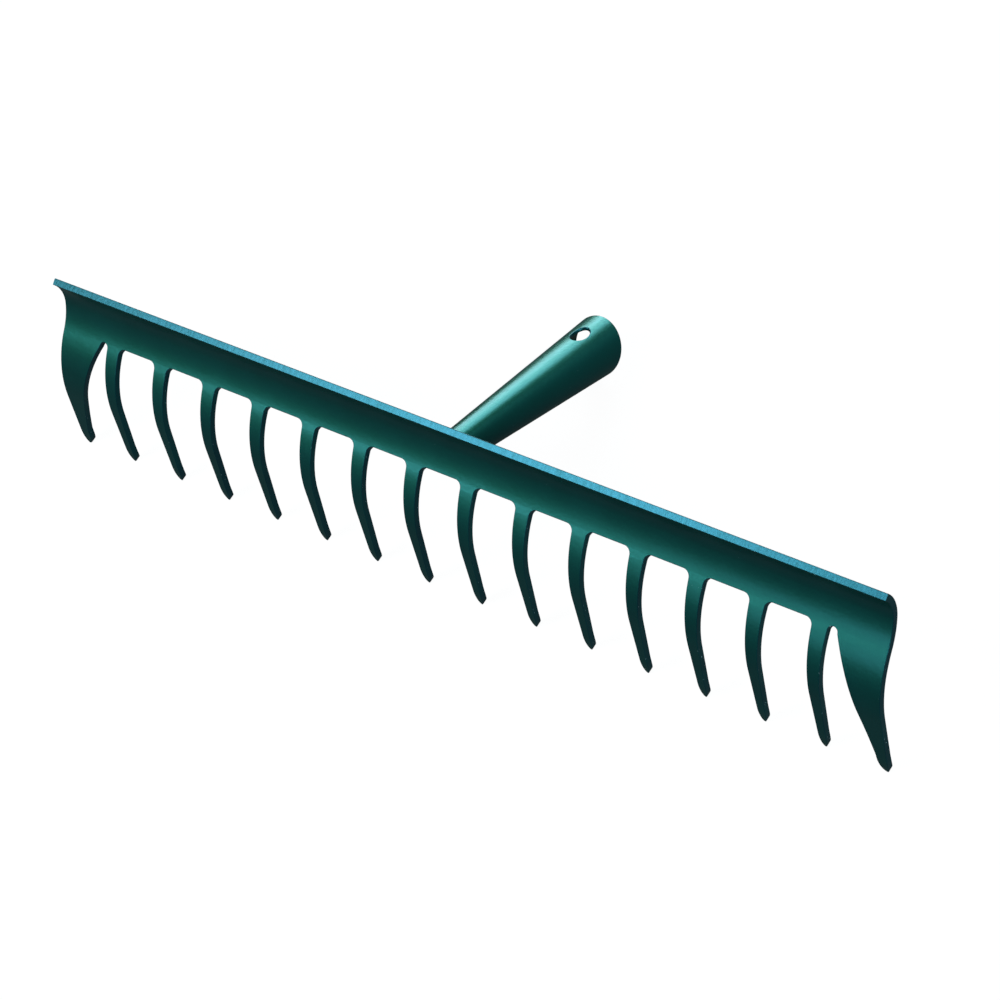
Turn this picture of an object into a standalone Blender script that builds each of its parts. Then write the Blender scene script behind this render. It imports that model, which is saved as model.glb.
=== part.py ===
"""Steel garden rake head: a pressed comb of sixteen teeth with a rolled socket for the handle.

The comb is one strip of sheet steel. Its flat blank is cut with the teeth hanging from a
solid band, and is then bent across its whole length: the top edge leans forward over a
round groove, the band and the roots of the teeth belly forward, and the points curl back.
The socket is a second sheet rolled into a tapering tube, with its seam underneath, one
hole for the handle's screw on top, and its narrow end coped to the back of the groove.
Two fillet welds hold it there.

Each piece is drawn in the comb's own frame: X runs along the comb, Y back towards the
handle and Z up, with the front of the top edge at the origin. The rake_head empty then
lays the whole head on its tooth points and the lower rim of the socket.
"""

import math

import bmesh
import bpy
from mathutils import Matrix, Vector

MM = 0.001

# Comb: the flat blank
TOOTH_COUNT = 16
TOOTH_PITCH = 27.0 * MM
SHEET = 2.9 * MM
END_MARGIN = 1.9 * MM          # from the end tooth's point to the end of the comb
WINDOW_TOP = 23.9 * MM         # from the top edge, along the sheet
WINDOW_FILLET = 3.0 * MM
ROOT_HALF_WIDTH = 3.35 * MM
NOSE_HALF_WIDTH = 1.75 * MM    # a tooth where its rounded point starts
NOSE_LENGTH = 9.0 * MM
SLOT_RADIUS = 2.1 * MM         # round top of the narrow slot beside each end tooth
END_NOSE_OUTER = 1.2 * MM
END_NOSE_INNER = 3.5 * MM
END_TAPER_START = 30.0 * MM    # the end of the comb is square down to here
END_EDGE_SAG = 1.4 * MM        # hollow of the end tooth's long inner edge

# Comb: the bends, from the top edge down
LIP_ANGLE = math.radians(49.0)     # the top edge leans forward from upright
GROOVE_RADIUS = 13.2 * MM          # front face of the round groove
WEB_ANGLE = math.radians(32.0)     # the band below the groove slopes forward
WEB_FLAT = 1.0 * MM
BELLY_RADIUS = 51.0 * MM
TOOTH_ANGLE = math.radians(7.0)    # the teeth lean back
TOOTH_FLAT = 20.0 * MM
CURL_RADIUS = 36.0 * MM
CURL_ANGLE = math.radians(23.0)    # the points lean back further

# Socket
SOCKET_LENGTH = 96.3 * MM          # from the back of the groove to the middle of the mouth
SOCKET_AXIS_DROP = 15.7 * MM       # from the top edge down to the axis, at the groove
SOCKET_TILT = math.radians(4.7)    # the mouth hangs lower than the groove end
MOUTH_DIAMETER = 24.0 * MM
MOUTH_SLANT = math.radians(18.0)   # the top of the mouth reaches further back
NECK_DIAMETER = 13.7 * MM
SOCKET_WALL = 1.5 * MM
SEAM_ANGLE = math.radians(5.0)     # the open seam, seen from the mouth
HOLE_FROM_MOUTH = 11.0 * MM        # from the middle of the mouth
HOLE_WIDTH = 7.0 * MM
HOLE_LENGTH = 10.0 * MM

# Welds
WELD_LEG = 3.4 * MM
WELD_CROWN = 0.5 * MM
WELD_START = math.radians(-24.0)   # from the side of the neck, a little below the axis
WELD_END = math.radians(82.0)      # almost to the top of the neck
SEAT_GAP = 0.3 * MM                # between pieces that touch

# How finely the round forms are cut
BEND_STEP = math.radians(6.0)
CORNER_STEPS = 6
NOSE_STEPS = 6
EDGE_STEPS = 10
SOCKET_STEPS = 56
WELD_STEPS = 16
HOLE_SIDES = 24
SEAT_PASSES = 5                    # rounds of closing in on the seat of the weld
SAME_POINT = 0.001 * MM
SHARP_ANGLE = math.radians(35.0)   # edges that turn further than this stay crisp

PAINT_GREEN = (0.010, 0.095, 0.055, 1.0)
PAINT_ROUGHNESS = 0.32


def clear_scene():
    for obj in list(bpy.data.objects):
        bpy.data.objects.remove(obj, do_unlink=True)


def paint_material(name):
    material = bpy.data.materials.new(name)
    material.use_nodes = True
    shader = material.node_tree.nodes["Principled BSDF"]
    shader.inputs["Base Color"].default_value = PAINT_GREEN
    shader.inputs["Roughness"].default_value = PAINT_ROUGHNESS
    shader.inputs["Metallic"].default_value = 0.0
    return material


def add_empty(name):
    empty = bpy.data.objects.new(name, None)
    bpy.context.scene.collection.objects.link(empty)
    return empty


def add_piece(name, bm, parent, smooth=True):
    """An object made from bm, with its own paint, under parent."""
    bmesh.ops.recalc_face_normals(bm, faces=bm.faces[:])
    mesh = bpy.data.meshes.new(name)
    bm.to_mesh(mesh)
    bm.free()
    if smooth:
        mesh.shade_smooth()
        mesh.set_sharp_from_angle(angle=SHARP_ANGLE)
    mesh.materials.append(paint_material(name + "_paint"))
    piece = bpy.data.objects.new(name, mesh)
    piece.parent = parent
    bpy.context.scene.collection.objects.link(piece)
    return piece


def add_cutter(name, bm, parent):
    cutter = add_piece(name, bm, parent, smooth=False)
    cutter.hide_render = True
    cutter.display_type = "WIRE"
    return cutter


def cut(piece, cutter):
    modifier = piece.modifiers.new("cut_" + cutter.name, "BOOLEAN")
    modifier.operation = "DIFFERENCE"
    modifier.solver = "EXACT"
    modifier.object = cutter


def bends():
    """Length and turn of each stretch of the comb's side view, from the top edge down."""
    return (
        (GROOVE_RADIUS * (LIP_ANGLE + WEB_ANGLE), -(LIP_ANGLE + WEB_ANGLE)),
        (WEB_FLAT, 0.0),
        (BELLY_RADIUS * (WEB_ANGLE + TOOTH_ANGLE), WEB_ANGLE + TOOTH_ANGLE),
        (TOOTH_FLAT, 0.0),
        (CURL_RADIUS * (CURL_ANGLE - TOOTH_ANGLE), CURL_ANGLE - TOOTH_ANGLE),
    )


def side_profile():
    """Stations down the comb's front face: distance along the sheet, front point, back point."""
    along, front, angle = 0.0, Vector((0.0, 0.0)), LIP_ANGLE
    stations = []

    def note():
        back = front + SHEET * Vector((math.cos(angle), math.sin(angle)))
        stations.append((along, front.copy(), back))

    note()
    for length, turn in bends():
        steps = max(1, math.ceil(abs(turn) / BEND_STEP))
        half_turn = turn / steps / 2
        chord = length / steps
        if half_turn:
            chord *= math.sin(half_turn) / half_turn
        for _ in range(steps):
            angle += half_turn
            front = front + chord * Vector((math.sin(angle), -math.cos(angle)))
            angle += half_turn
            along += length / steps
            note()
    return stations


def sheet_length():
    return sum(length for length, _ in bends())


def on_sheet(stations, along, depth):
    """Side-view point (y, z) at a distance along the sheet and a depth below its front."""
    for upper, lower in zip(stations, stations[1:]):
        if along <= lower[0] or lower is stations[-1]:
            share = (along - upper[0]) / (lower[0] - upper[0])
            front = upper[1].lerp(lower[1], share)
            back = upper[2].lerp(lower[2], share)
            return front.lerp(back, depth / SHEET)


def arc(centre, radius_x, radius_s, start, end, steps):
    """Points of an elliptical arc in the blank, with angles in degrees."""
    points = []
    for step in range(steps + 1):
        angle = math.radians(start + (end - start) * step / steps)
        x = centre[0] + radius_x * math.cos(angle)
        s = centre[1] + radius_s * math.sin(angle)
        points.append((x, s))
    return points


def hollow_edge(start, end, sag):
    """Points of a shallow arc from start to end that bows by sag to the left of its way."""
    run = Vector(end) - Vector(start)
    side = Vector((run.y, -run.x)).normalized()
    points = []
    for step in range(1, EDGE_STEPS):
        share = step / EDGE_STEPS
        bow = 4.0 * sag * share * (1.0 - share)
        points.append(tuple(Vector(start) + run * share + side * bow))
    return points


def left_end_tooth(x, nose_start, slot_s):
    """The broad tooth at the left end, down its square outer side and up its inner edge."""
    inner_top = x + TOOTH_PITCH - ROOT_HALF_WIDTH - 2.0 * SLOT_RADIUS
    slot_centre = (inner_top + SLOT_RADIUS, slot_s)
    nose_top = x + END_NOSE_INNER
    return [
        (x - END_MARGIN, 0.0),
        (x - END_MARGIN, END_TAPER_START),
        *arc((x, nose_start), END_NOSE_OUTER, NOSE_LENGTH, 180, 90, NOSE_STEPS),
        *arc((x, nose_start), END_NOSE_INNER, NOSE_LENGTH, 90, 0, NOSE_STEPS)[1:],
        *hollow_edge((nose_top, nose_start), (inner_top, slot_s), END_EDGE_SAG),
        *arc(slot_centre, SLOT_RADIUS, SLOT_RADIUS, 180, 360, 2 * CORNER_STEPS),
    ]


def inner_tooth(x, nose_start):
    """One narrow tooth, from its left root to its right root."""
    return arc((x, nose_start), NOSE_HALF_WIDTH, NOSE_LENGTH, 180, 0, 2 * NOSE_STEPS)


def window(left_x, right_x):
    """The top of one window between two teeth, with its two round corners."""
    centre_s = WINDOW_TOP + WINDOW_FILLET
    left = (left_x + ROOT_HALF_WIDTH + WINDOW_FILLET, centre_s)
    right = (right_x - ROOT_HALF_WIDTH - WINDOW_FILLET, centre_s)
    return [
        *arc(left, WINDOW_FILLET, WINDOW_FILLET, 180, 270, CORNER_STEPS),
        *arc(right, WINDOW_FILLET, WINDOW_FILLET, 270, 360, CORNER_STEPS),
    ]


def blank_outline():
    """The flat blank's outline: x along the comb, s down the sheet from the top edge."""
    nose_start = sheet_length() - NOSE_LENGTH
    slot_s = WINDOW_TOP + SLOT_RADIUS
    middle = (TOOTH_COUNT - 1) / 2
    tooth_x = [(index - middle) * TOOTH_PITCH for index in range(TOOTH_COUNT)]
    left_end = left_end_tooth(tooth_x[0], nose_start, slot_s)
    right_end = [(-x, s) for x, s in reversed(left_end)]
    outline = list(left_end)
    inner = tooth_x[1:-1]
    for index, x in enumerate(inner):
        outline += inner_tooth(x, nose_start)
        if index + 1 < len(inner):
            outline += window(x, inner[index + 1])
    return outline + right_end


def build_comb(parent):
    stations = side_profile()
    bm = bmesh.new()
    face = bm.faces.new([bm.verts.new((x, s, 0.0)) for x, s in blank_outline()])
    grown = bmesh.ops.extrude_face_region(bm, geom=[face])
    lifted = [v for v in grown["geom"] if isinstance(v, bmesh.types.BMVert)]
    bmesh.ops.translate(bm, verts=lifted, vec=(0.0, 0.0, SHEET))
    for along, _, _ in stations[1:-1]:
        bmesh.ops.bisect_plane(
            bm,
            geom=bm.verts[:] + bm.edges[:] + bm.faces[:],
            dist=SAME_POINT / 10,
            plane_co=(0.0, along, 0.0),
            plane_no=(0.0, 1.0, 0.0),
        )
    for vert in bm.verts:
        y, z = on_sheet(stations, vert.co.y, vert.co.z)
        vert.co = Vector((vert.co.x, y, z))
    return add_piece("rake_comb", bm, parent)


def back_of_groove():
    """Where the socket's axis meets the back of the comb, in the comb's frame."""
    stations = side_profile()
    for upper, lower in zip(stations, stations[1:]):
        if lower[2].y <= -SOCKET_AXIS_DROP:
            share = (upper[2].y + SOCKET_AXIS_DROP) / (upper[2].y - lower[2].y)
            y, z = upper[2].lerp(lower[2], share)
            return Vector((0.0, y, z))


def socket_taper():
    """How fast the radius of the socket grows along its axis."""
    return (MOUTH_DIAMETER - NECK_DIAMETER) / 2 / SOCKET_LENGTH


def socket_radius(along):
    """Outer radius of the socket at a distance from the back of the groove."""
    return NECK_DIAMETER / 2 + socket_taper() * along


def on_slanted_mouth(point):
    """Moves a point along the tube's wall from the middle plane of the mouth to its rim."""
    grow = socket_taper() / math.hypot(point.x, point.z)
    slope = math.tan(MOUTH_SLANT)
    further = slope * point.z / (1.0 - slope * grow * point.z)
    wider = 1.0 + grow * further
    return Vector((point.x * wider, point.y + further, point.z * wider))


def socket_frame(parent):
    """An empty at the neck of the socket, whose Y axis is the socket's axis."""
    frame = add_empty("socket_axis")
    frame.parent = parent
    frame.location = back_of_groove()
    frame.rotation_euler.x = -SOCKET_TILT
    bpy.context.view_layer.update()
    return frame


def comb_side_cutter(parent):
    """All that lies in front of the comb's back, with the seat gap added."""
    gap = SEAT_GAP / SHEET
    far = NECK_DIAMETER + MOUTH_DIAMETER
    behind = [back + (back - front) * gap for _, front, back in side_profile()]
    outline = [*behind, Vector((-far, behind[-1].y)), Vector((-far, behind[0].y))]
    bm = bmesh.new()
    face = bm.faces.new([bm.verts.new((-far, y, z)) for y, z in outline])
    grown = bmesh.ops.extrude_face_region(bm, geom=[face])
    lifted = [v for v in grown["geom"] if isinstance(v, bmesh.types.BMVert)]
    bmesh.ops.translate(bm, verts=lifted, vec=(2.0 * far, 0.0, 0.0))
    return add_cutter("comb_side", bm, parent)


def hole_cutter(axis_frame):
    bm = bmesh.new()
    bmesh.ops.create_cone(
        bm,
        cap_ends=True,
        segments=HOLE_SIDES,
        radius1=HOLE_WIDTH / 2,
        radius2=HOLE_WIDTH / 2,
        depth=MOUTH_DIAMETER,
    )
    bmesh.ops.scale(bm, verts=bm.verts, vec=(1.0, HOLE_LENGTH / HOLE_WIDTH, 1.0))
    place = (0.0, SOCKET_LENGTH - HOLE_FROM_MOUTH, MOUTH_DIAMETER / 2)
    bmesh.ops.translate(bm, verts=bm.verts, vec=place)
    return add_cutter("screw_hole", bm, axis_frame)


def wall_section():
    """The tube's wall, cut along its axis: distance along the axis, and radius."""
    outer = [(along, socket_radius(along)) for along in (-NECK_DIAMETER / 2, SOCKET_LENGTH)]
    inner = [(along, radius - SOCKET_WALL) for along, radius in reversed(outer)]
    return outer + inner


def build_socket(axis_frame, comb_side):
    """The tube, turned from its wall's section and left open along the seam underneath."""
    bm = bmesh.new()
    corners = [bm.verts.new((0.0, along, -radius)) for along, radius in wall_section()]
    face = bm.faces.new(corners)
    half_seam = Matrix.Rotation(SEAM_ANGLE / 2, 3, "Y")
    bmesh.ops.rotate(bm, verts=bm.verts, cent=(0.0, 0.0, 0.0), matrix=half_seam)
    end_cap = bmesh.ops.duplicate(bm, geom=[face])["geom"]
    cap_verts = [v for v in end_cap if isinstance(v, bmesh.types.BMVert)]
    turn = 2.0 * math.pi - SEAM_ANGLE
    to_end = Matrix.Rotation(turn, 3, "Y")
    bmesh.ops.rotate(bm, verts=cap_verts, cent=(0.0, 0.0, 0.0), matrix=to_end)
    bmesh.ops.spin(
        bm,
        geom=face.edges[:],
        cent=(0.0, 0.0, 0.0),
        axis=(0.0, 1.0, 0.0),
        angle=turn,
        steps=SOCKET_STEPS,
    )
    bmesh.ops.remove_doubles(bm, verts=bm.verts, dist=SAME_POINT)
    for vert in bm.verts:
        if vert.co.y > SOCKET_LENGTH / 2:
            vert.co = on_slanted_mouth(vert.co)
    socket = add_piece("handle_socket", bm, axis_frame)
    cut(socket, comb_side)
    cut(socket, hole_cutter(axis_frame))
    return socket


def seat_on_comb(axis_matrix, angle):
    """Distance along the socket's axis where its surface at this angle meets the comb.

    The angle runs from the right side of the socket, 0, over its top.
    """
    stations = side_profile()
    along = 0.0
    for _ in range(SEAT_PASSES):
        radius = socket_radius(along)
        height = radius * math.sin(angle)
        z = (axis_matrix @ Vector((0.0, along, height))).z
        for upper, lower in zip(stations, stations[1:]):
            if lower[2].y <= z:
                share = (upper[2].y - z) / (upper[2].y - lower[2].y)
                y = upper[2].lerp(lower[2], share).x
                break
        along += (y - (axis_matrix @ Vector((0.0, along, height))).y) / math.cos(SOCKET_TILT)
    return along


def weld_section(seat, angle):
    """One section of the fillet: five points (x, along the axis, z) at this angle."""
    taper = socket_taper()
    root = socket_radius(seat) + SEAT_GAP
    crown = WELD_LEG / 2 + WELD_CROWN
    outline = [
        (seat + WELD_LEG, root + taper * WELD_LEG),
        (seat + crown, root + crown),
        (seat, root + WELD_LEG),
        (seat - WELD_LEG, root + WELD_LEG),
        (seat - WELD_LEG, root - taper * WELD_LEG),
    ]
    return [(r * math.cos(angle), along, r * math.sin(angle)) for along, r in outline]


def build_weld(name, side, axis_frame, comb_side):
    """A fillet along one side of the neck, in the corner between the socket and the comb.

    It is lofted through sections that follow the socket's seat on the comb, clear of the
    tube by the seat gap, and its front is cut to the back of the comb.
    """
    bm = bmesh.new()
    loops = []
    for step in range(WELD_STEPS + 1):
        angle = WELD_START + (WELD_END - WELD_START) * step / WELD_STEPS
        section = weld_section(seat_on_comb(axis_frame.matrix_local, angle), angle)
        face = bm.faces.new([bm.verts.new((side * x, y, z)) for x, y, z in section])
        loops.append(face)
    for near, far in zip(loops, loops[1:]):
        bmesh.ops.bridge_loops(bm, edges=near.edges[:] + far.edges[:])
    bmesh.ops.delete(bm, geom=loops[1:-1], context="FACES_ONLY")
    weld = add_piece(name, bm, axis_frame)
    cut(weld, comb_side)
    return weld


def rest_angle(axis_matrix):
    """How far the head rolls back until the tooth points and the socket's rim are level."""
    _, front, back = side_profile()[-1]
    bottom = Vector((0.0, SOCKET_LENGTH, -MOUTH_DIAMETER / 2))
    rim = axis_matrix @ on_slanted_mouth(bottom)
    slopes = [math.atan2(rim.z - point.y, rim.y - point.x) for point in (front, back)]
    return -max(slopes)


def lay_on_floor(head, axis_frame, pieces):
    """Turns the head to its rest and stands the middle of its base on the origin."""
    head.rotation_euler.x = rest_angle(axis_frame.matrix_local)
    bpy.context.view_layer.update()
    corners = [
        piece.matrix_world @ vert.co for piece in pieces for vert in piece.data.vertices
    ]
    lows = [min(corner[axis] for corner in corners) for axis in range(3)]
    highs = [max(corner[axis] for corner in corners) for axis in range(3)]
    head.location.x = -(lows[0] + highs[0]) / 2
    head.location.y = -(lows[1] + highs[1]) / 2
    head.location.z = -lows[2]


def main():
    clear_scene()
    head = add_empty("rake_head")
    axis_frame = socket_frame(head)
    comb_side = comb_side_cutter(head)
    comb = build_comb(head)
    socket = build_socket(axis_frame, comb_side)
    build_weld("weld_right", 1, axis_frame, comb_side)
    build_weld("weld_left", -1, axis_frame, comb_side)
    lay_on_floor(head, axis_frame, [comb, socket])


main()
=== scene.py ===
"""Looks of the garden rake head: finely bent steel, green enamel and a plain studio.

Each operator makes one piece of the head in the place of its plain solid, or the studio
round it. The comb and the socket are sheets of steel: their flat blanks are drawn with
spins and extrusions, their edges are eased, and then the sheets are bent to shape.
"""

import math

import bmesh
import bpy
from bpy.props import FloatProperty, FloatVectorProperty, IntProperty, PointerProperty
from mathutils import Euler, Matrix, Vector
from mathutils.geometry import intersect_line_sphere_2d


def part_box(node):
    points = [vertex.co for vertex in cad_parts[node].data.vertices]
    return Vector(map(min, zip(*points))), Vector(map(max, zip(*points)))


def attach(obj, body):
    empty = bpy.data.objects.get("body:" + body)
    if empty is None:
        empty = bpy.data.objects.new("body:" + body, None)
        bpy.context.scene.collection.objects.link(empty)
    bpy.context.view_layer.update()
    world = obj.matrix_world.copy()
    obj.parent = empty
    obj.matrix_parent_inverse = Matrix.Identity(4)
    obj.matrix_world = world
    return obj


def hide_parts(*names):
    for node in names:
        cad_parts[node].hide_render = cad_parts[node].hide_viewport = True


bl_info = {
    "name": "Garden Rake Head",
    "version": (1, 0, 0),
    "blender": (4, 5, 0),
    "location": "3D View > Sidebar > Rake",
    "description": "Makes a pressed steel rake head with its green enamel and a studio",
    "category": "Add Mesh",
}

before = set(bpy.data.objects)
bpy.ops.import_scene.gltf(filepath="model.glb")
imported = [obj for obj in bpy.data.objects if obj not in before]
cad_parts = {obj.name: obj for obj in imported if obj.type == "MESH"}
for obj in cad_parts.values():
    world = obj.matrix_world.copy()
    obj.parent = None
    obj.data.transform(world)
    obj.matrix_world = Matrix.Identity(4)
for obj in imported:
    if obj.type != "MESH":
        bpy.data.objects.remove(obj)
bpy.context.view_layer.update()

MM = 0.001
SAME_POINT = 0.0005 * MM
SHARP_ANGLE = math.radians(50.0)  # edges that turn further than this stay crisp

# Edges on the round stretches of the blanks
CORNER_STEPS = 10
END_NOSE_STEPS = (10, 14)  # outer and inner half of an end tooth's point
SLOT_STEPS = 20
NOSE_STEPS = 24
HOLE_STEPS = 24


# Sizes and colours


def length_prop(name, description, default_mm):
    return FloatProperty(
        name=name, description=description, default=default_mm * MM, unit="LENGTH", precision=5
    )


def angle_prop(name, description, default_degrees):
    return FloatProperty(
        name=name, description=description, default=math.radians(default_degrees), unit="ROTATION"
    )


def colour_prop(name, description, default):
    return FloatVectorProperty(
        name=name, description=description, default=default, subtype="COLOR", min=0.0, max=1.0
    )


class CombSizes(bpy.types.PropertyGroup):
    tooth_count: IntProperty(name="Teeth", description="Teeth along the comb", default=16, min=4)
    tooth_pitch: length_prop("Tooth pitch", "Between the middles of two teeth", 27.0)
    sheet: length_prop("Sheet", "Thickness of the steel", 2.9)
    end_margin: length_prop("End margin", "From the end tooth's point to the comb's end", 1.9)
    window_top: length_prop("Band", "Height of the solid band above the teeth", 23.9)
    window_fillet: length_prop("Window corner", "Radius of a window's top corners", 3.0)
    root_half_width: length_prop("Half root", "Half the width of a tooth at its root", 3.35)
    nose_half_width: length_prop("Half nose", "Half the width where the point starts", 1.75)
    nose_length: length_prop("Nose", "Length of a tooth's rounded point", 9.0)
    slot_radius: length_prop("Slot radius", "Round top of the slot beside an end tooth", 2.1)
    end_nose_outer: length_prop("End nose, outer", "Outer half of an end tooth's point", 1.2)
    end_nose_inner: length_prop("End nose, inner", "Inner half of an end tooth's point", 3.5)
    end_taper_start: length_prop("Square end", "The comb's end is square down to here", 30.0)
    end_edge_sag: length_prop("End edge sag", "Hollow of the end tooth's inner edge", 1.4)
    lip_angle: angle_prop("Lip", "Forward lean of the top edge", 49.0)
    groove_radius: length_prop("Groove", "Radius of the round groove's front face", 13.2)
    groove_end: angle_prop("Groove end", "Forward slope where the round groove ends", 8.0)
    web_angle: angle_prop("Web", "Forward slope at the roots of the teeth", 31.0)
    web_length: length_prop("Web length", "Gently bent length from the groove to the roots", 12.0)
    belly_radius: length_prop("Belly", "Radius of the teeth's forward bend", 45.08)
    tooth_angle: angle_prop("Tooth lean", "Backward lean of the straight teeth", 8.15)
    tooth_flat: length_prop("Tooth flat", "Straight length of a tooth", 19.16)
    curl_radius: length_prop("Curl", "Radius of the curled points", 36.0)
    curl_angle: angle_prop("Point lean", "Backward lean of the points", 23.0)
    edge_round: length_prop("Edge", "Rounding of the cut edges under the enamel", 0.26)
    bend_step: angle_prop("Bend step", "Largest turn between two rows of faces", 2.5)


class SocketSizes(bpy.types.PropertyGroup):
    length: length_prop("Length", "From the groove's back to the middle of the mouth", 96.3)
    axis_drop: length_prop("Axis drop", "From the top edge to the axis at the groove", 15.7)
    tilt: angle_prop("Tilt", "The mouth hangs lower than the neck", 4.7)
    mouth_diameter: length_prop("Mouth", "Outer diameter at the mouth", 24.0)
    mouth_slant: angle_prop("Slant", "The top of the mouth reaches further back", 18.0)
    neck_diameter: length_prop("Neck", "Outer diameter at the groove", 13.7)
    wall: length_prop("Wall", "Thickness of the rolled sheet", 1.5)
    seam_angle: angle_prop("Seam", "Open seam underneath, seen from the mouth", 5.0)
    hole_from_mouth: length_prop("Hole place", "From the middle of the mouth", 11.0)
    hole_width: length_prop("Hole width", "Across the socket", 7.0)
    hole_length: length_prop("Hole length", "Along the socket", 10.0)
    edge_round: length_prop("Edge", "Rounding of the cut edges", 0.35)
    roll_step: angle_prop("Roll step", "Turn between two rows of faces round the tube", 2.25)
    seat_depth: length_prop("Seat depth", "How far the neck sinks into the comb's back", 2.0)


class WeldSizes(bpy.types.PropertyGroup):
    bead_radius: length_prop("Bead", "Radius of the weld bead", 3.2)
    start: angle_prop("Start", "From the side of the neck, a little below the axis", -24.0)
    end: angle_prop("End", "Almost to the top of the neck", 82.0)
    ripple: length_prop("Ripple", "Height of the ripples along the bead", 0.16)
    ripple_count: IntProperty(name="Ripples", description="Ripples along one bead", default=9)


class EnamelLook(bpy.types.PropertyGroup):
    deep: colour_prop("Deep green", "Enamel where it lies thick", (0.0005, 0.0140, 0.0195))
    mid: colour_prop("Mid green", "Enamel where it lies thin", (0.0006, 0.0185, 0.0232))
    edge: colour_prop("Edge green", "Enamel on the cut edges", (0.0006, 0.0240, 0.0260))
    speck: colour_prop("Dust", "Fine dust caught in the enamel", (0.30, 0.48, 0.50))
    sheen: colour_prop("Sheen", "Broad green sheen of the enamel", (0.02, 0.90, 0.12))
    sheen_share: FloatProperty(
        name="Sheen share", description="Share of the broad sheen", default=0.06
    )
    edge_sheen_share: FloatProperty(
        name="Edge sheen share", description="Share of the sheen on the cut edges", default=0.02
    )
    sheen_roughness: FloatProperty(
        name="Sheen roughness", description="Roughness of the broad sheen", default=0.41
    )
    reflection_tint: colour_prop("Reflection tint", "Cool cast of the gloss", (0.125, 0.62, 1.0))
    gloss: FloatProperty(
        name="Gloss", description="Strength of the reflection, 0.5 is plain", default=1.0
    )
    roughness: FloatProperty(
        name="Roughness", description="Roughness of clean enamel", default=0.30, min=0.0, max=1.0
    )


class StudioSizes(bpy.types.PropertyGroup):
    camera_place: FloatVectorProperty(
        name="Camera", description="Place of the camera", subtype="TRANSLATION",
        default=(0.711489, -0.392279, 1.048130),
    )
    camera_turn: FloatVectorProperty(
        name="Camera turn", description="Turn of the camera", subtype="EULER",
        default=(math.radians(32.14257), math.radians(20.74541), math.radians(33.15478)),
    )
    lens: FloatProperty(name="Lens", description="Focal length in millimetres", default=118.788)
    floor_size: length_prop("Floor", "Width of the floor", 60000.0)
    floor_colour: colour_prop("Floor colour", "What it gives back to the head", (0.06, 0.06, 0.06))
    floor_white: FloatProperty(
        name="Floor white", description="How much white the floor shows the camera", default=0.96
    )
    white_in_gloss: FloatProperty(
        name="White in gloss", description="Share of that white in reflections", default=0.04
    )
    sky: FloatProperty(name="Sky", description="Strength of the even light", default=0.15)
    sky_colour: colour_prop("Sky colour", "Cool even light", (0.55, 0.75, 1.0))
    lamp_colour: colour_prop("Lamp colour", "Slightly cool softboxes", (0.85, 0.96, 1.0))


# Drawing a blank


class Outline:
    """A chain of straight and round edges, drawn flat in a bmesh from its last point on."""

    def __init__(self, bm, x, s):
        self.bm = bm
        self.last = bm.verts.new((x, s, 0.0))

    def line_to(self, x, s):
        grown = bmesh.ops.extrude_vert_indiv(self.bm, verts=[self.last])
        self.last = grown["verts"][0]
        self.last.co = (x, s, 0.0)

    def turn_round(self, x, s, degrees, steps, stretch=(1.0, 1.0)):
        """A round edge about (x, s), stretched about it into part of an ellipse."""
        before = set(self.bm.verts)
        grown = bmesh.ops.spin(
            self.bm,
            geom=[self.last],
            cent=(x, s, 0.0),
            axis=(0.0, 0.0, 1.0),
            angle=math.radians(degrees),
            steps=steps,
        )
        self.last = [v for v in grown["geom_last"] if isinstance(v, bmesh.types.BMVert)][0]
        fresh = [v for v in self.bm.verts if v not in before]
        about = Matrix.Translation((-x, -s, 0.0))
        bmesh.ops.scale(self.bm, verts=fresh, vec=(*stretch, 1.0), space=about)

    def hollow_to(self, x, s, sag, steps):
        """A shallow round edge to (x, s), which bows by sag to the right of its way."""
        start = self.last.co.copy()
        run = Vector((x, s, 0.0)) - start
        side = run.cross((0.0, 0.0, 1.0)).normalized()
        radius = (run.length**2 / 4 + sag**2) / (2 * sag)
        centre = start + run / 2 - side * (radius - sag)
        turn = 2.0 * math.asin(run.length / 2 / radius)
        self.turn_round(centre.x, centre.y, math.degrees(turn), steps)


def face_from(bm):
    """Closes the outline on the middle line and fills it with one face."""
    bmesh.ops.remove_doubles(bm, verts=bm.verts, dist=SAME_POINT)
    return bmesh.ops.contextual_create(bm, geom=bm.edges[:])["faces"]


def mirror_half(bm):
    bmesh.ops.mirror(bm, geom=bm.verts[:] + bm.edges[:] + bm.faces[:], merge_dist=SAME_POINT)
    bmesh.ops.recalc_face_normals(bm, faces=bm.faces[:])


def thicken(bm, depth):
    """Gives the flat blank its thickness, with its front at depth 0."""
    grown = bmesh.ops.extrude_face_region(bm, geom=bm.faces[:])
    lifted = [v for v in grown["geom"] if isinstance(v, bmesh.types.BMVert)]
    bmesh.ops.translate(bm, verts=lifted, vec=(0.0, 0.0, depth))
    bmesh.ops.recalc_face_normals(bm, faces=bm.faces[:])


def ease_edges(bm, size):
    """Marks the cut walls as the second material and rounds their rims."""
    bm.normal_update()
    for face in bm.faces:
        face.material_index = 1 if abs(face.normal.z) < 0.5 else 0
    rims = [e for e in bm.edges if {f.material_index for f in e.link_faces} == {0, 1}]
    bmesh.ops.bevel(
        bm,
        geom=rims,
        offset=size,
        segments=3,
        profile=0.5,
        affect="EDGES",
        material=1,
        clamp_overlap=True,
    )


def score(bm, axis, places):
    """Cuts rows of edges across the blank, so that it can bend there."""
    across = Vector((1.0, 0.0, 0.0)) if axis == "X" else Vector((0.0, 1.0, 0.0))
    for place in places:
        bmesh.ops.bisect_plane(
            bm,
            geom=bm.verts[:] + bm.edges[:] + bm.faces[:],
            dist=SAME_POINT,
            plane_co=across * place,
            plane_no=across,
        )


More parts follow.
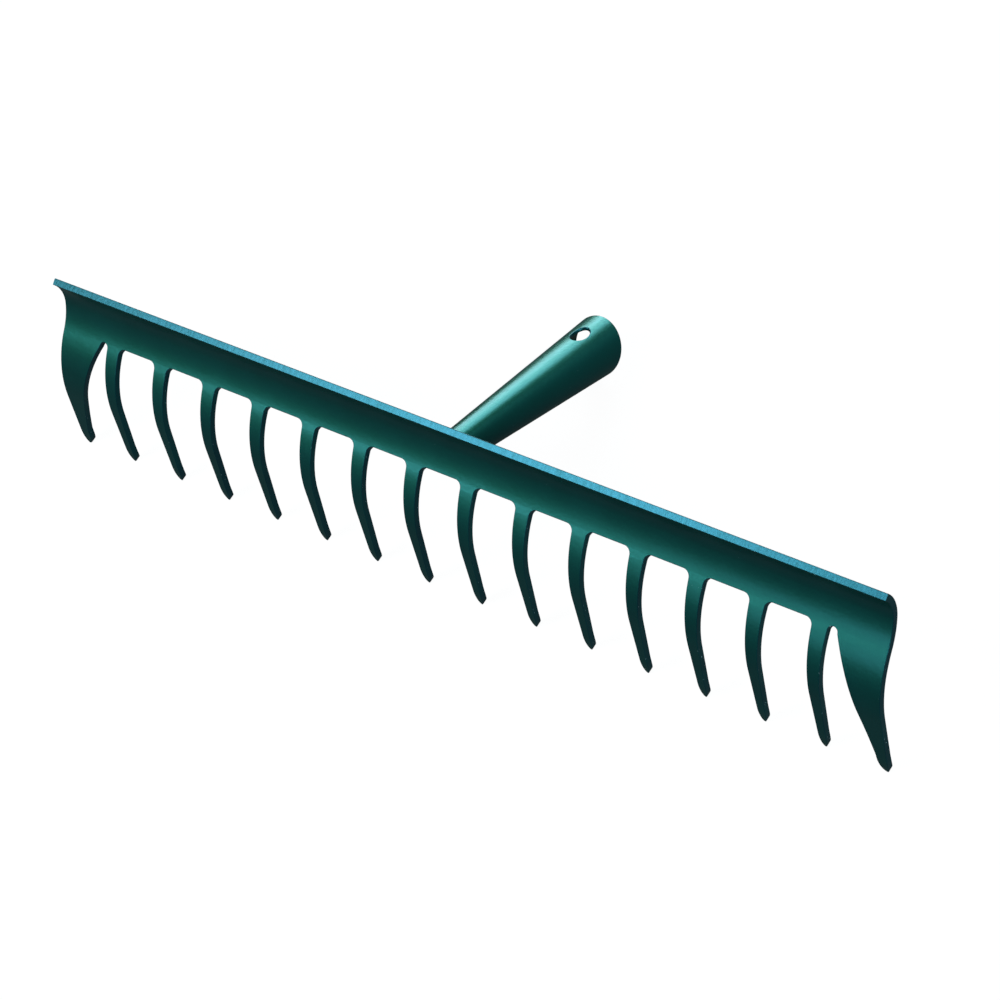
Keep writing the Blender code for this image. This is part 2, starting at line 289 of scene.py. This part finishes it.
def add_piece(name, bm, node, materials):
    """The finished object, which stands for its plain solid."""
    bmesh.ops.recalc_face_normals(bm, faces=bm.faces[:])
    mesh = bpy.data.meshes.new(name)
    bm.to_mesh(mesh)
    bm.free()
    mesh.shade_smooth()
    mesh.set_sharp_from_angle(angle=SHARP_ANGLE)
    for material in materials:
        mesh.materials.append(material)
    piece = bpy.data.objects.new(name, mesh)
    bpy.context.scene.collection.objects.link(piece)
    evened = piece.modifiers.new("even_shading", "WEIGHTED_NORMAL")
    evened.keep_sharp = True
    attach(piece, "root")
    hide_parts(node)
    return piece


# The comb


def comb_bends(comb):
    """Length and turn of each stretch of the comb's side view, from the top edge down."""
    groove_turn = comb.lip_angle + comb.groove_end
    belly_turn = comb.web_angle + comb.tooth_angle
    curl_turn = comb.curl_angle - comb.tooth_angle
    return (
        (comb.groove_radius * groove_turn, -groove_turn),
        (comb.web_length, comb.groove_end - comb.web_angle),
        (comb.belly_radius * belly_turn, belly_turn),
        (comb.tooth_flat, 0.0),
        (comb.curl_radius * curl_turn, curl_turn),
    )


def sheet_length(comb):
    return sum(length for length, _ in comb_bends(comb))


def on_bent_sheet(comb, along, depth):
    """Side-view point (y, z) at a distance down the bent sheet and a depth below its front."""
    point, angle = Vector((0.0, 0.0)), comb.lip_angle
    for length, turn in comb_bends(comb):
        used = min(along, length)
        half = turn * used / length / 2
        chord = used * (math.sin(half) / half if half else 1.0)
        point += chord * Vector((math.sin(angle + half), -math.cos(angle + half)))
        angle += 2 * half
        along -= used
    return point + depth * Vector((math.cos(angle), math.sin(angle)))


def draw_end_tooth(outline, comb, x, nose_start, slot_s):
    """The broad tooth at the left end, down its square side and up its inner edge."""
    inner_top = x + comb.tooth_pitch - comb.root_half_width - 2 * comb.slot_radius
    outer, inner, nose = comb.end_nose_outer, comb.end_nose_inner, comb.nose_length
    outer_steps, inner_steps = END_NOSE_STEPS
    outline.line_to(x - comb.end_margin, comb.end_taper_start)
    outline.line_to(x - outer, nose_start)
    outline.turn_round(x, nose_start, -90, outer_steps, stretch=(1.0, nose / outer))
    outline.turn_round(x, nose_start, -90, inner_steps, stretch=(inner / nose, 1.0))
    outline.hollow_to(inner_top, slot_s, comb.end_edge_sag, SLOT_STEPS)
    outline.turn_round(inner_top + comb.slot_radius, slot_s, 180, SLOT_STEPS)


def draw_tooth(outline, comb, x, nose_start):
    """One narrow tooth, down its left side, round its point and up its right side."""
    half = comb.nose_half_width
    stretch = (1.0, comb.nose_length / half)
    outline.line_to(x - half, nose_start)
    outline.turn_round(x, nose_start, -180, NOSE_STEPS, stretch)
    outline.line_to(x + comb.root_half_width, comb.window_top + comb.window_fillet)


def draw_window_half(outline, comb, corner_x, side):
    """One round corner at the top of a window."""
    fillet = comb.window_fillet
    outline.turn_round(corner_x + side * fillet, comb.window_top + fillet, 90, CORNER_STEPS)


def comb_blank(comb):
    """The flat blank of the comb: x along it, y down the sheet from the top edge."""
    bm = bmesh.new()
    nose_start = sheet_length(comb) - comb.nose_length
    slot_s = comb.window_top + comb.slot_radius
    first = -(comb.tooth_count - 1) / 2 * comb.tooth_pitch
    outline = Outline(bm, 0.0, 0.0)
    outline.line_to(first - comb.end_margin, 0.0)
    draw_end_tooth(outline, comb, first, nose_start, slot_s)
    for index in range(1, comb.tooth_count // 2):
        x = first + index * comb.tooth_pitch
        draw_tooth(outline, comb, x, nose_start)
        draw_window_half(outline, comb, x + comb.root_half_width, 1)
        if index + 1 < comb.tooth_count // 2:
            next_side = x + comb.tooth_pitch - comb.root_half_width
            outline.line_to(next_side - comb.window_fillet, comb.window_top)
            draw_window_half(outline, comb, next_side, -1)
    outline.line_to(0.0, comb.window_top)
    outline.line_to(0.0, 0.0)
    face_from(bm)
    mirror_half(bm)
    return bm


def bend_rows(comb):
    """Places down the sheet where it is scored, closely enough for each bend."""
    rows, top = [], 0.0
    for length, turn in comb_bends(comb):
        steps = max(1, math.ceil(abs(turn) / comb.bend_step))
        rows += [top + length * step / steps for step in range(1, steps + 1)]
        top += length
    return rows[:-1]


def rest_matrix(comb, socket):
    """Lays the head on its tooth points and the lower rim of the socket, as the solids lie."""
    length = sheet_length(comb)
    front, back = (on_bent_sheet(comb, length, depth) for depth in (0.0, comb.sheet))
    low_rim = slanted(socket, Vector((0.0, socket.length, -socket.mouth_diameter / 2)))
    rim = socket_matrix(comb, socket) @ low_rim
    slopes = [math.atan2(rim.z - point.y, rim.y - point.x) for point in (front, back)]
    turned = Matrix.Rotation(-max(slopes), 4, "X")
    tips = [turned @ Vector((0.0, *point)) for point in (front, back)]
    lowest = min(point.z for point in (*tips, turned @ rim))
    foremost = min(point.y for point in tips)
    box_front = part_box("rake_comb")[0].y
    return Matrix.Translation((0.0, box_front - foremost, -lowest)) @ turned


# The socket


def socket_seat(comb, socket):
    """Where the socket's axis meets the back of the groove, and the sheet's slope there."""
    centre = groove_centre(comb)
    reach = comb.groove_radius + comb.sheet
    sink = math.asin((centre.y + socket.axis_drop) / reach)
    seat = centre + reach * Vector((math.cos(sink), -math.sin(sink)))
    return seat, sink


def groove_centre(comb):
    return -comb.groove_radius * Vector((math.cos(comb.lip_angle), math.sin(comb.lip_angle)))


def socket_matrix(comb, socket):
    """The socket's own frame, with Y along its axis, in the comb's frame."""
    seat, _ = socket_seat(comb, socket)
    return Matrix.Translation((0.0, *seat)) @ Matrix.Rotation(-socket.tilt, 4, "X")


def socket_taper(socket):
    return (socket.mouth_diameter - socket.neck_diameter) / 2 / socket.length


def socket_radius(socket, along):
    return socket.neck_diameter / 2 + socket_taper(socket) * along


def slanted(socket, point):
    """Moves a point along the wall from the middle plane of the mouth to its slanted rim."""
    grow = socket_taper(socket) / math.hypot(point.x, point.z)
    slope = math.tan(socket.mouth_slant)
    further = slope * point.z / (1.0 - slope * grow * point.z)
    wider = 1.0 + grow * further
    return Vector((point.x * wider, point.y + further, point.z * wider))


def socket_blank(socket, seam_x):
    """The flat sheet of the socket: x round the tube from its top, y along its axis."""
    bm = bmesh.new()
    hole_s = socket.length - socket.hole_from_mouth
    half_width, half_length = socket.hole_width / 2, socket.hole_length / 2
    outline = Outline(bm, 0.0, -socket.neck_diameter / 2)
    outline.line_to(seam_x, -socket.neck_diameter / 2)
    outline.line_to(seam_x, socket.length)
    outline.line_to(0.0, socket.length)
    outline.line_to(0.0, hole_s + half_length)
    outline.turn_round(0.0, hole_s, -180, HOLE_STEPS, stretch=(half_width / half_length, 1.0))
    outline.line_to(0.0, -socket.neck_diameter / 2)
    face_from(bm)
    mirror_half(bm)
    return bm


# Enamel

# Noise scales per metre: the enamel's unevenness, its dust and the grain of the shear
CLOUD = 26.0
FINE_CLOUD = 140.0
PEEL = 620.0
WAVE = 95.0
PATCHES = 70.0
FACE_DUST = 1900.0
EDGE_DUST = 1500.0
SHEAR_GRAIN = (900.0, 90.0, 900.0)

# Dust shows where its noise is above these levels, and fully so a little further up
FACE_DUST_LEVEL = 0.90
EDGE_DUST_LEVEL = 0.82
DUST_STEP = 0.03

RELIEF_STRENGTH = 0.22
RELIEF_DEPTH = 0.4 * MM
ENAMEL_IOR = 1.5


class Value:
    """A number that varies over the surface, on which Python's operators add Math nodes."""

    def __init__(self, graph, socket):
        self.graph = graph
        self.socket = socket

    def _math(self, operation, first, second):
        return self.graph.node("ShaderNodeMath", {"operation": operation}, {0: first, 1: second})

    def __add__(self, other):
        return self._math("ADD", self, other)

    def __sub__(self, other):
        return self._math("SUBTRACT", self, other)

    def __rsub__(self, other):
        return self._math("SUBTRACT", other, self)

    def __mul__(self, other):
        return self._math("MULTIPLY", self, other)

    __radd__ = __add__
    __rmul__ = __mul__


class Graph:
    """The nodes of one material or of the world."""

    def __init__(self, owner):
        owner.use_nodes = True
        self.tree = owner.node_tree
        self.tree.nodes.clear()

    def node(self, kind, settings=None, inputs=None, output=0):
        """Adds a node, sets it up, feeds its sockets and gives one of its outputs."""
        made = self.tree.nodes.new(kind)
        for name, value in (settings or {}).items():
            setattr(made, name, value)
        for name, value in (inputs or {}).items():
            if isinstance(value, Value):
                self.tree.links.new(value.socket, made.inputs[name])
            else:
                made.inputs[name].default_value = value
        return Value(self, made.outputs[output]) if made.outputs else None

    def noise(self, place, scale, detail=2.0, roughness=0.5):
        inputs = {"Vector": place, "Scale": scale, "Detail": detail, "Roughness": roughness}
        return self.node("ShaderNodeTexNoise", inputs=inputs)

    def mask(self, value, low, high):
        """0 below low and 1 above high, with a soft step between."""
        inputs = {"Value": value, "From Min": low, "From Max": high}
        settings = {"interpolation_type": "SMOOTHSTEP"}
        return self.node("ShaderNodeMapRange", settings, inputs)

    def stretched(self, place, scale):
        return self.node("ShaderNodeMapping", inputs={"Vector": place, "Scale": scale})

    def blend(self, share, first, second):
        """A colour between two colours; sockets 0, 6, 7 and output 2 are the colour ones."""
        inputs = {0: share, 6: first, 7: second}
        return self.node("ShaderNodeMix", {"data_type": "RGBA"}, inputs, output=2)


def opaque(colour):
    return (*colour, 1.0)


def enamel(look, name, cut_edge):
    """Green enamel over steel. Cut edges show the grain of the shear and more dust."""
    material = bpy.data.materials.new(name)
    graph = Graph(material)
    place = graph.node("ShaderNodeTexCoord", output="Object")
    cloud = graph.noise(place, CLOUD, detail=3.0, roughness=0.55)
    fine_cloud = graph.noise(place, FINE_CLOUD)
    thin = graph.mask(cloud * 0.75 + fine_cloud * 0.25, 0.36, 0.64)
    mid = look.edge if cut_edge else look.mid
    colour = graph.blend(thin, opaque(look.deep), opaque(mid))
    dust = graph.noise(place, EDGE_DUST if cut_edge else FACE_DUST, detail=1.0)
    patches = graph.noise(place, PATCHES)
    dust_level = EDGE_DUST_LEVEL if cut_edge else FACE_DUST_LEVEL
    specks = graph.mask(dust + patches * 0.12, dust_level, dust_level + DUST_STEP)
    colour = graph.blend(specks, colour, opaque(look.speck))
    peel = graph.noise(place, PEEL, detail=1.5, roughness=0.4)
    wave = graph.noise(place, WAVE, detail=1.0)
    relief = peel * 0.35 + wave * 0.65 + specks * 0.3
    # the noises vary about 0.5, so half of their shares comes off the roughness again
    roughness = cloud * 0.08 + fine_cloud * 0.04 + specks * 0.3 + (look.roughness - 0.06)
    if cut_edge:
        grain = graph.noise(graph.stretched(place, SHEAR_GRAIN), 1.0)
        relief = relief + grain * 0.4
        roughness = roughness + grain * 0.14 - 0.07
    bump = graph.node(
        "ShaderNodeBump",
        inputs={"Strength": RELIEF_STRENGTH, "Distance": RELIEF_DEPTH, "Height": relief},
    )
    shader = graph.node(
        "ShaderNodeBsdfPrincipled",
        inputs={
            "Base Color": colour,
            "Roughness": roughness,
            "IOR": ENAMEL_IOR,
            "Specular IOR Level": look.gloss,
            "Specular Tint": opaque(look.reflection_tint),
            "Normal": bump,
        },
    )
    sheen = graph.node(
        "ShaderNodeBsdfPrincipled",
        inputs={
            "Base Color": opaque(look.sheen),
            "Metallic": 1.0,
            "Roughness": look.sheen_roughness,
            "Normal": bump,
        },
    )
    share = look.edge_sheen_share if cut_edge else look.sheen_share
    mixed = graph.node("ShaderNodeMixShader", inputs={0: share, 1: shader, 2: sheen})
    graph.node("ShaderNodeOutputMaterial", inputs={"Surface": mixed})
    return material


def enamel_pair(look):
    """The enamel of the faces and that of the cut edges, made once."""
    made = []
    for name, cut_edge in (("green_enamel", False), ("green_enamel_on_cut_edges", True)):
        made.append(bpy.data.materials.get(name) or enamel(look, name, cut_edge))
    return made


# Operators

SECTIONS_PER_RIPPLE = 6
BEAD_SIDES = 20

LAMP_DISTANCE = 1.7
SENSOR_WIDTH = 36.0

# name, direction from the object, width and height in metres, radiance
SOFTBOXES = (
    ("key_softbox", (-0.54, -0.40, 0.74), 0.53, 0.53, 9.6),
    ("low_key", (-0.54, -0.60, 0.59), 0.42, 0.42, 3.5),
    ("wide_key", (-0.37, -0.37, 0.85), 0.64, 0.64, 4.0),
    ("back_bank", (-0.33, 0.90, 0.27), 0.80, 0.60, 3.8),
    ("high_back", (-0.20, 0.83, 0.53), 0.80, 0.80, 4.4),
    ("back_left_bank", (-0.60, 0.77, 0.19), 0.80, 0.45, 7.2),
    ("top_fill", (0.56, 0.51, 0.66), 0.86, 0.86, 2.6),
    ("front_fill", (-0.22, -0.82, 0.53), 0.64, 0.64, 1.9),
    ("right_fill", (0.90, -0.20, 0.35), 0.75, 0.75, 8.5),
)


class RAKE_OT_comb(bpy.types.Operator):
    """Cut the comb's blank, ease its edges and bend it"""

    bl_idname = "rake.comb"
    bl_label = "Comb"

    def execute(self, context):
        comb, socket = context.scene.rake_comb, context.scene.rake_socket
        bm = comb_blank(comb)
        thicken(bm, comb.sheet)
        ease_edges(bm, comb.edge_round)
        score(bm, "Y", bend_rows(comb))
        for vert in bm.verts:
            y, z = on_bent_sheet(comb, vert.co.y, vert.co.z)
            vert.co = (vert.co.x, y, z)
        bmesh.ops.transform(bm, matrix=rest_matrix(comb, socket), verts=bm.verts)
        add_piece("comb", bm, "rake_comb", enamel_pair(context.scene.rake_enamel))
        return {"FINISHED"}


class RAKE_OT_socket(bpy.types.Operator):
    """Cut the socket's blank with its screw hole, roll it and trim its mouth and neck"""

    bl_idname = "rake.socket"
    bl_label = "Socket"

    def execute(self, context):
        comb, socket = context.scene.rake_comb, context.scene.rake_socket
        hole_s = socket.length - socket.hole_from_mouth
        true_radius = socket_radius(socket, hole_s)
        seam_x = (math.pi - socket.seam_angle / 2) * true_radius
        bm = socket_blank(socket, seam_x)
        thicken(bm, socket.wall)
        ease_edges(bm, socket.edge_round)
        step = socket.roll_step * true_radius
        rows = int(seam_x / step)
        score(bm, "X", [row * step for row in range(-rows, rows + 1)])
        slant_start = hole_s + socket.hole_length / 2 + 4 * socket.edge_round
        slant_end = socket.length - socket.edge_round
        score(bm, "Y", [slant_start, *(socket.length * part / 10 for part in range(1, 9))])
        for vert in bm.verts:
            angle = vert.co.x / true_radius
            along = vert.co.y
            radius = socket_radius(socket, along) - vert.co.z
            rolled = Vector((radius * math.sin(angle), along, radius * math.cos(angle)))
            share = (along - slant_start) / (slant_end - slant_start)
            share = min(max(share, 0.0), 1.0)
            vert.co = rolled.lerp(slanted(socket, rolled), share)
        seat, sink = socket_seat(comb, socket)
        bmesh.ops.transform(bm, matrix=socket_matrix(comb, socket), verts=bm.verts)
        inward = Vector((0.0, math.cos(sink), -math.sin(sink)))
        bmesh.ops.bisect_plane(
            bm,
            geom=bm.verts[:] + bm.edges[:] + bm.faces[:],
            dist=SAME_POINT,
            plane_co=Vector((0.0, *seat)) - inward * socket.seat_depth,
            plane_no=inward,
            clear_inner=True,
        )
        bmesh.ops.holes_fill(bm, edges=[e for e in bm.edges if e.is_boundary])
        bmesh.ops.transform(bm, matrix=rest_matrix(comb, socket), verts=bm.verts)
        add_piece("socket", bm, "handle_socket", enamel_pair(context.scene.rake_enamel))
        return {"FINISHED"}


class RAKE_OT_welds(bpy.types.Operator):
    """Lay a rippled weld bead along each side of the neck"""

    bl_idname = "rake.welds"
    bl_label = "Welds"

    def seat(self, comb, socket, angle):
        """How far along the socket its wall meets the comb's back, at an angle round it."""
        into = socket_matrix(comb, socket)
        ends = []
        for along in (-socket.neck_diameter / 2, socket.length):
            radius = socket_radius(socket, along)
            ends.append(into @ Vector((0.0, along, radius * math.sin(angle))))
        reach = comb.groove_radius + comb.sheet
        crossings = intersect_line_sphere_2d(
            ends[0].yz, ends[1].yz, groove_centre(comb), reach, False
        )
        found = max((point for point in crossings if point), key=lambda point: point.x)
        share = (found.x - ends[0].y) / (ends[1].y - ends[0].y)
        return -socket.neck_diameter / 2 + share * (socket.length + socket.neck_diameter / 2)

    def bead(self, comb, socket, weld, side):
        """One bead: round sections along the corner, sunk a little into both sheets."""
        bm = bmesh.new()
        sections = SECTIONS_PER_RIPPLE * weld.ripple_count
        rings = []
        for step in range(sections + 1):
            share = step / sections
            angle = weld.start + (weld.end - weld.start) * share
            along = self.seat(comb, socket, angle)
            ripple = weld.ripple * math.cos(2 * math.pi * weld.ripple_count * share)
            # a fifth of the radius at both ends, and all of it a twelfth of the way in
            swell = min(1.0, math.sqrt(0.04 + 12.0 * min(share, 1.0 - share)))
            radius = weld.bead_radius * swell + ripple
            ring = bmesh.ops.create_circle(bm, segments=BEAD_SIDES, radius=radius)["verts"]
            for vert in ring:
                vert.co.x = max(vert.co.x, -socket.wall / 2)
                vert.co.y = max(vert.co.y, -comb.sheet / 2)
            out = socket_radius(socket, along)
            place = Matrix.Rotation(-angle, 4, "Y") @ Matrix.Translation((out, along, 0.0))
            bmesh.ops.transform(bm, matrix=place, verts=ring)
            rings.append({edge for vert in ring for edge in vert.link_edges})
        for near, far in zip(rings, rings[1:]):
            bmesh.ops.bridge_loops(bm, edges=list(near | far))
        bmesh.ops.holes_fill(bm, edges=[edge for edge in bm.edges if edge.is_boundary])
        bmesh.ops.remove_doubles(bm, verts=bm.verts, dist=SAME_POINT)
        if side < 0:
            bmesh.ops.scale(bm, verts=bm.verts, vec=(-1.0, 1.0, 1.0))
        return bm

    def execute(self, context):
        scene = context.scene
        comb, socket, weld = scene.rake_comb, scene.rake_socket, scene.rake_weld
        to_rest = rest_matrix(comb, socket) @ socket_matrix(comb, socket)
        for name, node, side in (
            ("weld_bead_right", "weld_right", 1),
            ("weld_bead_left", "weld_left", -1),
        ):
            bm = self.bead(comb, socket, weld, side)
            bmesh.ops.transform(bm, matrix=to_rest, verts=bm.verts)
            add_piece(name, bm, node, enamel_pair(scene.rake_enamel)[:1])
        return {"FINISHED"}


class RAKE_OT_studio(bpy.types.Operator):
    """Set up the floor, the lights and the camera"""

    bl_idname = "rake.studio"
    bl_label = "Studio"

    def white_share(self, graph, studio):
        """All of the white for the camera, and a little of it for reflections and glass."""
        seen = graph.node("ShaderNodeLightPath", output="Is Camera Ray")
        in_gloss = graph.node("ShaderNodeLightPath", output="Is Glossy Ray")
        through = graph.node("ShaderNodeLightPath", output="Is Transmission Ray")
        return seen + (in_gloss + through) * studio.white_in_gloss

    def add_floor(self, studio):
        bm = bmesh.new()
        bmesh.ops.create_grid(bm, x_segments=1, y_segments=1, size=studio.floor_size / 2)
        mesh = bpy.data.meshes.new("floor")
        bm.to_mesh(mesh)
        bm.free()
        material = bpy.data.materials.new("pale_floor")
        graph = Graph(material)
        share = self.white_share(graph, studio)
        matt = graph.node(
            "ShaderNodeBsdfPrincipled",
            inputs={
                "Base Color": opaque(studio.floor_colour),
                "Roughness": 1.0,
                "Specular IOR Level": 0.0,
                "Emission Color": graph.blend(share, opaque((0.0,) * 3), opaque((1.0,) * 3)),
                "Emission Strength": studio.floor_white,
            },
        )
        graph.node("ShaderNodeOutputMaterial", inputs={"Surface": matt})
        mesh.materials.append(material)
        floor = bpy.data.objects.new("floor", mesh)
        bpy.context.scene.collection.objects.link(floor)

    def add_sky(self, studio):
        """White for the camera and a cool, even light for everything else."""
        world = bpy.data.worlds.new("studio_sky")
        graph = Graph(world)
        even = {"Color": opaque(studio.sky_colour), "Strength": studio.sky}
        white = {"Color": opaque((1.0, 1.0, 1.0)), "Strength": 1.0}
        light = graph.node(
            "ShaderNodeMixShader",
            inputs={
                0: self.white_share(graph, studio),
                1: graph.node("ShaderNodeBackground", inputs=even),
                2: graph.node("ShaderNodeBackground", inputs=white),
            },
        )
        graph.node("ShaderNodeOutputWorld", inputs={"Surface": light})
        bpy.context.scene.world = world

    def add_softbox(self, studio, name, towards, width, height, radiance):
        """A softbox seen from the object in one direction, with its light's own radiance."""
        lamp = bpy.data.lights.new(name, "AREA")
        lamp.shape = "RECTANGLE"
        lamp.size = width
        lamp.size_y = height
        lamp.color = studio.lamp_colour
        lamp.energy = radiance * math.pi * width * height
        place = Vector(towards).normalized() * LAMP_DISTANCE
        softbox = bpy.data.objects.new(name, lamp)
        softbox.location = place
        softbox.rotation_euler = place.to_track_quat("Z", "Y").to_euler()
        softbox.visible_camera = False
        bpy.context.scene.collection.objects.link(softbox)

    def add_camera(self, studio):
        lens = bpy.data.cameras.new("camera")
        lens.lens = studio.lens
        lens.sensor_width = SENSOR_WIDTH
        camera = bpy.data.objects.new("camera", lens)
        camera.location = studio.camera_place
        camera.rotation_euler = Euler(studio.camera_turn)
        bpy.context.scene.collection.objects.link(camera)
        bpy.context.scene.camera = camera

    def execute(self, context):
        studio = context.scene.rake_studio
        context.scene.view_settings.view_transform = "Standard"
        self.add_floor(studio)
        self.add_sky(studio)
        for softbox in SOFTBOXES:
            self.add_softbox(studio, *softbox)
        self.add_camera(studio)
        return {"FINISHED"}


class RAKE_PT_sidebar(bpy.types.Panel):
    """The pieces of the rake head and its studio"""

    bl_label = "Rake head"
    bl_idname = "RAKE_PT_sidebar"
    bl_space_type = "VIEW_3D"
    bl_region_type = "UI"
    bl_category = "Rake"

    def draw(self, context):
        for sizes, operators in SECTIONS:
            box = self.layout.box()
            group = getattr(context.scene, sizes)
            for name in group.bl_rna.properties.keys():
                if name not in ("rna_type", "name"):
                    box.prop(group, name)
            for operator in operators:
                box.operator(operator)


SECTIONS = (
    ("rake_enamel", ()),
    ("rake_comb", ("rake.comb",)),
    ("rake_socket", ("rake.socket",)),
    ("rake_weld", ("rake.welds",)),
    ("rake_studio", ("rake.studio",)),
)
GROUPS = {
    "rake_enamel": EnamelLook,
    "rake_comb": CombSizes,
    "rake_socket": SocketSizes,
    "rake_weld": WeldSizes,
    "rake_studio": StudioSizes,
}
CLASSES = (
    *GROUPS.values(),
    RAKE_OT_comb,
    RAKE_OT_socket,
    RAKE_OT_welds,
    RAKE_OT_studio,
    RAKE_PT_sidebar,
)


def register():
    for cls in CLASSES:
        bpy.utils.register_class(cls)
    for name, group in GROUPS.items():
        setattr(bpy.types.Scene, name, PointerProperty(type=group))


def unregister():
    for name in GROUPS:
        delattr(bpy.types.Scene, name)
    for cls in reversed(CLASSES):
        bpy.utils.unregister_class(cls)


def main():
    register()
    bpy.ops.rake.comb()
    bpy.ops.rake.socket()
    bpy.ops.rake.welds()
    bpy.ops.rake.studio()


if __name__ == "__main__":
    main()
